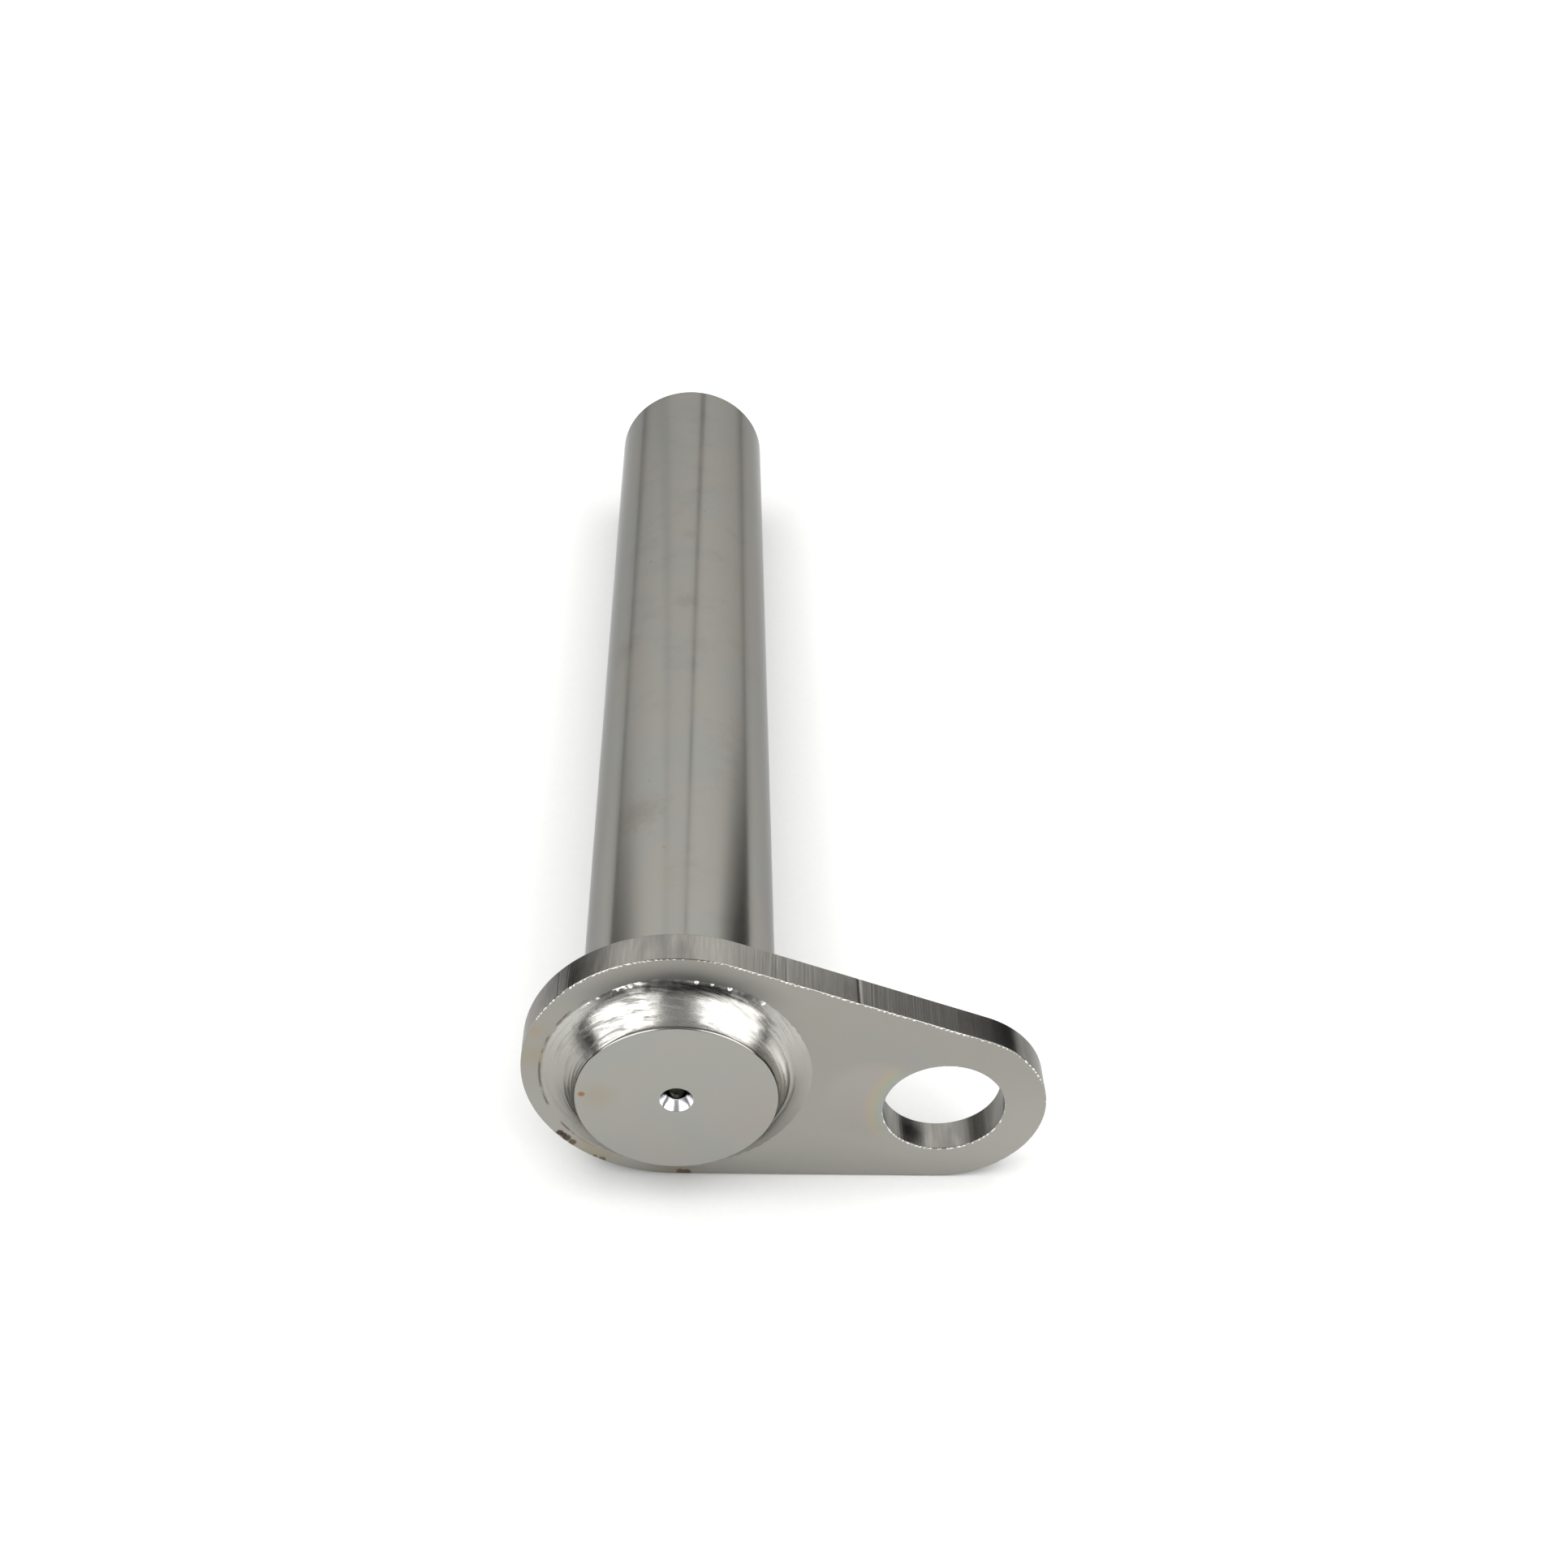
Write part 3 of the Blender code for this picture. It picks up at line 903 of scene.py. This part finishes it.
edge_material, tree, shader = finish("zinc_on_cut_edge", ZINC, 0.18, 0.1, 0.08)
beam = stretched_noise(tree, 2600, (1, 0.06, 1), 3.0, 0.6)
patchy = stretched_noise(tree, 160, (1, 0.3, 1), 3.0, 0.6)
base = blend(tree, fade(tree, beam, 0.35, 0.7), EDGE_DIM, EDGE_BRIGHT)
base = lay(tree, base, EDGE_PATCH, fade(tree, patchy, 0.50, 0.66, 0.5))
base = lay_scale(tree, base)
# painted shade: near-black spots on the cut edge at the bolt end and at the upper left
for x, z, size, amount in EDGE_SHADE_SPOTS:
    edge_shade = spot(tree, (x * MM, FLAG_FRONT_Y + FLAG_THICKNESS / 2, z * MM), size * MM, 0.7, 0.7)
    base = lay(tree, base, EDGE_SHADE, edge_shade, amount)
tree.links.new(base, shader.inputs["Base Color"])
tree.links.new(remap(tree, patchy, 0.3, 0.7, 0.15, 0.25), shader.inputs["Roughness"])
bumps(tree, shader, [(beam, 0.07, 0.02 * MM)])
add_finish(flag, edge_material)
use_finish(flag, 1, np.abs(face_values(flag, "normal")[:, 1]) < 0.985)

# %% [markdown]
# ## The burr
#
# Beads of melt along the front rim are tiny and smooth, so they catch the light, and their base is raised
# far above the plate's, a painted highlight, so that they show as a dotted white line. The finish is a
# pale, smooth metal whose brightness changes from bead to bead. It goes on every face that stands out in
# front of the flag.

# %% Finish the burr
# the raised base is a painted highlight along the burr's beads
BURR_HIGHLIGHT_DIM, BURR_HIGHLIGHT_BRIGHT = (0.62, 0.61, 0.58), (0.85, 0.84, 0.81)

burr_highlight_material, tree, shader = finish("zinc_on_burr_with_painted_highlight", (0.75, 0.74, 0.71), 0.16, 0.2, 0.05)
melt = stretched_noise(tree, 1500, (1, 1, 1), 2.0, 0.5)
tree.links.new(blend(tree, melt, BURR_HIGHLIGHT_DIM, BURR_HIGHLIGHT_BRIGHT), shader.inputs["Base Color"])
tree.links.new(remap(tree, melt, 0.3, 0.7, 0.12, 0.2), shader.inputs["Roughness"])
add_finish(flag, burr_highlight_material)
use_finish(flag, 2, face_values(flag, "center")[:, 1] < FLAG_FRONT_Y - 0.004 * MM)

# %% [markdown]
# ## The weld's finish
#
# Weld metal plates brighter than plate or bar. Its fine streaks run round the bar. They are noise in
# four dimensions: the fourth is the distance from the bar's axis, read at a high frequency, while the
# position itself is read at a low one. So the noise changes quickly across the bead and slowly along
# it, with no seam anywhere. The top of the bead is brushed most. The lower sides are plainer and painted
# darker as shade, with a painted highlight near the foot on the right and a painted dark patch at the
# upper left. A painted shade darkens the upper toe, and painted highlights make its lip at the upper
# left and the beads of spatter shine.

# %% Finish the weld
WELD_COOL, WELD_WARM = (0.375, 0.37, 0.35), (0.405, 0.395, 0.365)
WELD_SIDE_SHADE, WELD_FOOT_HIGHLIGHT = (0.315, 0.306, 0.28), (0.76, 0.74, 0.69)
WELD_PATCH_SHADE, WELD_MARK, WELD_TOE_SHADE = (0.10, 0.098, 0.09), (0.14, 0.137, 0.13), (0.062, 0.062, 0.058)
WELD_LIP_GLINT, WELD_SPATTER_GLINT = (0.9, 0.88, 0.84), (0.95, 0.94, 0.91)
STREAK_SCALE = (120, 1500, 120)  # how often the streaks change along X, Y and Z, per metre
STREAKS_OUTWARD = 2600  # and away from the bar's axis
STREAKS_SIDEWAYS = 450  # a slant that keeps the streaks from being true circles

weld_material, tree, shader = finish("zinc_on_weld", (0.37, 0.36, 0.335), 0.26, 0.12, 0.08)
axes = object_axes(tree)
outward = from_bar_axis(tree)
slow = node(tree, "ShaderNodeMapping", [("Vector", object_place(tree)), ("Scale", STREAK_SCALE)]).outputs[0]
across = product(tree, outward, STREAKS_OUTWARD)
across = math_node(tree, "ADD", across, product(tree, axes["X"], STREAKS_SIDEWAYS))
streaks = node(
    tree,
    "ShaderNodeTexNoise",
    [("Vector", slow), ("W", across), ("Scale", 1.0), ("Detail", 6.0), ("Roughness", 0.62)],
    noise_dimensions="4D",
).outputs["Fac"]
cloud = stretched_noise(tree, 160, (1, 1, 1), 4.0, 0.6)

brushed_top = remap(tree, axes["Z"], 2 * MM, 12 * MM, 0.15, 1.0, True)
brushed_left = remap(tree, axes["X"], -5 * MM, 6 * MM, 1.2, 0.5, True)
brushed = product(tree, brushed_top, brushed_left)
marked = product(tree, fade(tree, streaks, 0.48, 0.66), brushed)
# painted shade on the weld's lower sides, and a painted highlight near the foot on the right
side_shade_mask = fade(tree, axes["Z"], 11 * MM, 3 * MM)
near_foot = fade(tree, outward, PIN_RADIUS + 2.4 * MM, PIN_RADIUS + 0.4 * MM)
at_right = fade(tree, axes["X"], -2 * MM, 8 * MM)
# painted shade: a near-black patch at the upper left of the weld
shade_patch = spot(tree, (-13.4 * MM, FLAG_FRONT_Y - 3.2 * MM, 9.3 * MM), 2.6 * MM, 0.8, 0.6)
base = blend(tree, fade(tree, cloud, 0.3, 0.7), WELD_COOL, WELD_WARM)
side_shade_and_foot_highlight = blend(tree, product(tree, near_foot, at_right), WELD_SIDE_SHADE, WELD_FOOT_HIGHLIGHT)
base = lay(tree, base, side_shade_and_foot_highlight, side_shade_mask)
base = lay(tree, base, WELD_PATCH_SHADE, shade_patch, 0.95)
base = lay(tree, base, WELD_MARK, marked, 0.75)

from_toe_middle = from_bar_axis(tree, TOE_DROP)
on_top = fade(tree, axes["Z"], 12 * MM, 16.5 * MM)
near_toe = fade(tree, from_toe_middle, TOE_RADIUS - 2.3 * MM, TOE_RADIUS - 1.0 * MM, 0.92)
# painted shade: a dark band along the upper toe
toe_shade_noise = remap(tree, stretched_noise(tree, 420, (1, 1, 1), 4.0, 0.6), 0.36, 0.54, 0.5, 1.0, True)
base = lay(tree, base, WELD_TOE_SHADE, near_toe, on_top, toe_shade_noise)
# painted highlight: a dotted pale line along the toe's lip at the upper left
lip_glint_line = fade(tree, from_toe_middle, TOE_RADIUS - 0.5 * MM, TOE_RADIUS - 0.25 * MM)
lip_from = fade(tree, axes["X"], -16.5 * MM, -15 * MM)
lip_to = fade(tree, axes["X"], -4 * MM, -6 * MM)
beads = fade(tree, stretched_noise(tree, 900, (1, 1, 1), 2.0, 0.5), 0.48, 0.56)
base = lay(tree, base, WELD_LIP_GLINT, lip_glint_line, product(tree, lip_from, lip_to), beads, on_top)
# painted highlight: near-white spots on the beads of spatter
for around, _, bead in SPATTER:
    out = TOE_RADIUS - TOE_DROP * math.cos(math.radians(around)) - 0.2 * MM
    middle = (out * math.sin(math.radians(around)), FLAG_FRONT_Y, out * math.cos(math.radians(around)))
    base = lay(tree, base, WELD_SPATTER_GLINT, spot(tree, middle, bead * 1.5 * MM, 0.2))
tree.links.new(base, shader.inputs["Base Color"])
rough = remap(tree, streaks, 0.3, 0.7, 0.18, 0.27)
rough = math_node(tree, "ADD", rough, product(tree, marked, 0.2))
tree.links.new(rough, shader.inputs["Roughness"])
brushed_height = product(tree, streaks, remap(tree, axes["Z"], -6 * MM, 9 * MM, 0.4, 1.0, True))
bumps(tree, shader, [(brushed_height, 0.75, 0.06 * MM), (cloud, 0.2, 0.12 * MM)])
add_finish(weld, weld_material)

# %% [markdown]
# ## The floor
#
# The pin lies on the flag's lower edge and on the bottom of its tip, so the floor is the plane through
# those two lines. It tilts by under three degrees. It is plain pale paper, whiter away from the pin to
# make up for the light that falls off there, and very far off it glows faintly, so that no horizon
# shows. Two sheets make it: a near one, and a wide one that carries on to the horizon. The metal
# mirrors only the near one, and beyond that the dark room.

# %% Make the floor
NEAR_X, NEAR_Y = (-0.42, 0.42), (-0.75, 0.47)
WIDE_X, WIDE_Y = (-4.0, 4.0), (-4.0, 4.0)
PAPER_DIM, PAPER_FIBRE, PAPER_FAR = (0.415, 0.415, 0.41), (0.435, 0.435, 0.43), (0.78, 0.78, 0.775)
PAPER_MIDDLE = (0, -0.1, 0)
PALER_FROM, PALER_TO = 0.25, 1.1  # distances from the middle, in metres
HAZE_FROM, HAZE_TO = 0.9, 2.0
HAZE_GLOW = 0.8
rest_rise = (PIN_END_RADIUS - PIN_RADIUS) / (TIP_Y - TIP_CHAMFER - FLAG_BACK_Y)


def sheet(name, corner_points):
    """A flat four-cornered set piece, which is not part of the object."""
    mesh = bpy.data.meshes.new(name)
    mesh.from_pydata(corner_points.tolist(), [], [(0, 1, 2, 3)])
    made = bpy.data.objects.new(name, mesh)
    bpy.context.scene.collection.objects.link(made)
    return made


def floor_sheet(name, x_range, y_range, below):
    """A sheet in the plane that the pin rests on: height = -end radius + rise*(y - flag's back) - below."""
    x = np.array([x_range[0], x_range[1], x_range[1], x_range[0]])
    y = np.array([y_range[0], y_range[0], y_range[1], y_range[1]])
    return sheet(name, np.stack([x, y, rest_rise * (y - FLAG_BACK_Y) - PIN_END_RADIUS - below], axis=1))


paper = bpy.data.materials.new("pale_paper")
paper.use_nodes = True
tree = paper.node_tree
paper_shader = tree.nodes["Principled BSDF"]
paper_shader.inputs["Roughness"].default_value = 0.9
paper_shader.inputs["Specular IOR Level"].default_value = 0.1
paper_shader.inputs["Emission Color"].default_value = (1.0, 1.0, 0.99, 1.0)
from_pin = distance_from(tree, PAPER_MIDDLE)
fibre = stretched_noise(tree, 900, (1, 1, 1), 2.0, 0.5)
near_color = blend(tree, fibre, PAPER_DIM, PAPER_FIBRE)
paper_color = lay(tree, near_color, PAPER_FAR, fade(tree, from_pin, PALER_FROM, PALER_TO))
tree.links.new(paper_color, paper_shader.inputs["Base Color"])
haze = fade(tree, from_pin, HAZE_FROM, HAZE_TO, HAZE_GLOW)
tree.links.new(haze, paper_shader.inputs["Emission Strength"])
near_floor = floor_sheet("near_floor", NEAR_X, NEAR_Y, 0.0)
wide_floor = floor_sheet("wide_floor", WIDE_X, WIDE_Y, 0.02 * MM)
wide_floor.visible_glossy = False
for made in (near_floor, wide_floor):
    made.data.materials.append(paper)
print("floor tilt", round(math.degrees(math.atan(rest_rise)), 2), "degrees")

# %% [markdown]
# ## Light
#
# Polished metal is lit by what it mirrors, so the light is a small tent. Two soft side walls run from
# beside the tip to well in front of the flag, and the weld mirrors both as white patches with a dark gap
# between them. A pale back wall stands beyond the tip, and the top of the bar mirrors it. The corners
# between the walls are dark, and so is the room in front, which draws the bar's two dark bands. A dim
# ceiling fills the top faces. The fill light only brightens the paper, and the metal does not mirror it.
# Plain lamps would put small hard highlights on the bar, where a tent gives broad soft ones.

# %% Light the set
WALL_RADIANCE = 3.35
WALL_REACH = 0.42  # from the bar's axis to each side wall
WALL_NEAR_Y = {"left": -1.5, "right": -1.05}  # the left wall reaches further towards the camera
WALL_FAR_Y = 0.02
WALL_Z = (0.07, 1.05)
FILL_RADIANCE = 3.4
FILL_HEIGHT = 2.5
FILL_SIZE = 4.0


def area_light(name, place, turn, width, height, radiance):
    """A rectangular area light whose power follows from the brightness that it shows in a mirror."""
    light = bpy.data.lights.new(name, "AREA")
    light.shape = "RECTANGLE"
    light.size, light.size_y = width, height
    light.energy = radiance * math.pi * width * height
    lamp = bpy.data.objects.new(name, light)
    lamp.location = place
    lamp.rotation_euler = turn
    lamp.visible_camera = False
    bpy.context.scene.collection.objects.link(lamp)
    return lamp


wall_height = WALL_Z[1] - WALL_Z[0]
for side, hand in (("left", -1), ("right", 1)):
    near = WALL_NEAR_Y[side]
    middle = (hand * WALL_REACH, (near + WALL_FAR_Y) / 2, sum(WALL_Z) / 2)
    turn = (0, hand * math.pi / 2, 0)
    wall = area_light("wall_" + side, middle, turn, wall_height, WALL_FAR_Y - near, WALL_RADIANCE)
    print(wall.name, "power", round(wall.data.energy, 2), "W")
fill = area_light("floor_fill", (0.0, 0.0, FILL_HEIGHT), (0, 0, 0), FILL_SIZE, FILL_SIZE, FILL_RADIANCE)
fill.visible_glossy = False

# %% [markdown]
# ## The back wall and the room
#
# The back wall is seen only in the metal, so it is a glowing sheet that the camera, the paper and the
# shadows leave out. Its level is a product of simple steps: a dark seam that the bar draws out into a
# thin line, two fainter ones, a fade at each side and at the foot, and a slow rise. The room is dark and
# has a dim ceiling that fades in upwards and is weaker in front. The camera itself sees plain white
# instead of the room.

# %% Make the back wall and the room
BACK_WALL_X, BACK_WALL_Y, BACK_WALL_Z = (-0.50, 0.43), FLAG_FRONT_Y + 0.5, (-0.01, 0.64)
BACK_WALL_RADIANCE = 1.28
SEAMS = [  # middle, half width, softness in metres; level inside
    (0.052, 0.009, 0.006, 0.5),
    (-0.143, 0.006, 0.03, 0.85),
    (-0.045, 0.09, 0.008, 0.96),
]
SIDE_LEVEL, FOOT_LEVEL = 0.3, 0.4
ROOM_RADIANCE = 0.06
CEILING_RADIANCE = 0.45
FRONT_LEVEL = 0.55
PALE_LIGHT = (1.0, 1.0, 0.99, 1.0)
WARM_LIGHT = (1.0, 0.99, 0.965, 1.0)

left_x, right_x = BACK_WALL_X
foot_z, head_z = BACK_WALL_Z
back_x = np.array([left_x, right_x, right_x, left_x])
back_z = np.array([foot_z, foot_z, head_z, head_z])
back_wall = sheet("back_wall", np.stack([back_x, 0 * back_x + BACK_WALL_Y, back_z], axis=1))
back_wall.visible_camera = False
back_wall.visible_diffuse = False
back_wall.visible_shadow = False
glow = bpy.data.materials.new("lit_fabric")
glow.use_nodes = True
tree = glow.node_tree
tree.nodes.clear()
axes = object_axes(tree)

levels = []
for at, half_width, softness, dark in SEAMS:
    away = math_node(tree, "ABSOLUTE", math_node(tree, "SUBTRACT", axes["X"], at))
    levels.append(remap(tree, away, half_width, half_width + softness, dark, 1.0, True))
levels += [
    remap(tree, axes["X"], 0.31, right_x, 1.0, SIDE_LEVEL, True),
    remap(tree, axes["X"], left_x, -0.32, SIDE_LEVEL, 1.0, True),
    remap(tree, axes["Z"], 0.10, 0.50, 0.84, 1.05),
    remap(tree, axes["Z"], foot_z, 0.06, FOOT_LEVEL, 1.0, True),
]
strength = BACK_WALL_RADIANCE
for level in levels:
    strength = math_node(tree, "MULTIPLY", level, strength)
emission = node(tree, "ShaderNodeEmission", [("Color", WARM_LIGHT), ("Strength", strength)])
surface = node(tree, "ShaderNodeOutputMaterial")
tree.links.new(emission.outputs[0], surface.inputs["Surface"])
back_wall.data.materials.append(glow)

world = bpy.data.worlds.new("studio")
bpy.context.scene.world = world
world.use_nodes = True
sky = world.node_tree
background = sky.nodes["Background"]
direction = node(sky, "ShaderNodeTexCoord").outputs["Generated"]
parts = node(sky, "ShaderNodeSeparateXYZ", [(0, direction)]).outputs
high = fade(sky, parts["Z"], 0.2, 0.75)
front = remap(sky, parts["Y"], -0.5, -0.2, FRONT_LEVEL, 1.0, True)
strength = math_node(sky, "ADD", product(sky, high, front, CEILING_RADIANCE), ROOM_RADIANCE)
seen = node(sky, "ShaderNodeLightPath").outputs["Is Camera Ray"]
level = node(sky, "ShaderNodeMix", [("Factor", seen), ("A", strength), ("B", 1.0)], data_type="FLOAT")
sky.links.new(level.outputs[0], background.inputs["Strength"])
background.inputs["Color"].default_value = PALE_LIGHT
print("back wall", round(right_x - left_x, 2), "m wide with", len(levels), "levels; room", ROOM_RADIANCE)

# %% [markdown]
# ## The camera
#
# The camera looks down on the flag end from the front, so that the bar runs away from it and tapers in
# perspective. Its place is given from the bar's tip, and its aim by three turns: to the right, down, and
# a slight roll. Aiming it at a point would be shorter, but would leave out the roll.

# %% Place the camera
CAMERA_PLACE = (2.1 * MM, -387.61 * MM, 219.57 * MM)
CAMERA_YAW = math.radians(3.266)
CAMERA_DOWN = math.radians(38.988)
CAMERA_ROLL = math.radians(3.029)
CAMERA_LENS = 45.48
camera_data = bpy.data.cameras.new("camera")
camera_data.sensor_width = 36.0
camera_data.lens = CAMERA_LENS
camera_data.clip_start = 0.01
camera = bpy.data.objects.new("camera", camera_data)
yaw_cos, yaw_sin = math.cos(CAMERA_YAW), math.sin(CAMERA_YAW)
ahead = np.array([yaw_sin * math.cos(CAMERA_DOWN), yaw_cos * math.cos(CAMERA_DOWN), -math.sin(CAMERA_DOWN)])
right = np.array([yaw_cos, -yaw_sin, 0.0])
up = np.cross(right, ahead)
rolled_right = math.cos(CAMERA_ROLL) * right + math.sin(CAMERA_ROLL) * up
rolled_up = -math.sin(CAMERA_ROLL) * right + math.cos(CAMERA_ROLL) * up
pose = np.eye(4)
pose[:3] = np.stack([rolled_right, rolled_up, -ahead, CAMERA_PLACE], axis=1)
camera.matrix_world = pose.T.tolist()
bpy.context.scene.collection.objects.link(camera)
bpy.context.scene.camera = camera
bpy.context.scene.view_settings.view_transform = "Standard"
flag_distance = math.dist(CAMERA_PLACE, (0, FLAG_FRONT_Y, 0))
print("camera", round(flag_distance, 3), "m from the flag, lens", CAMERA_LENS, "mm")
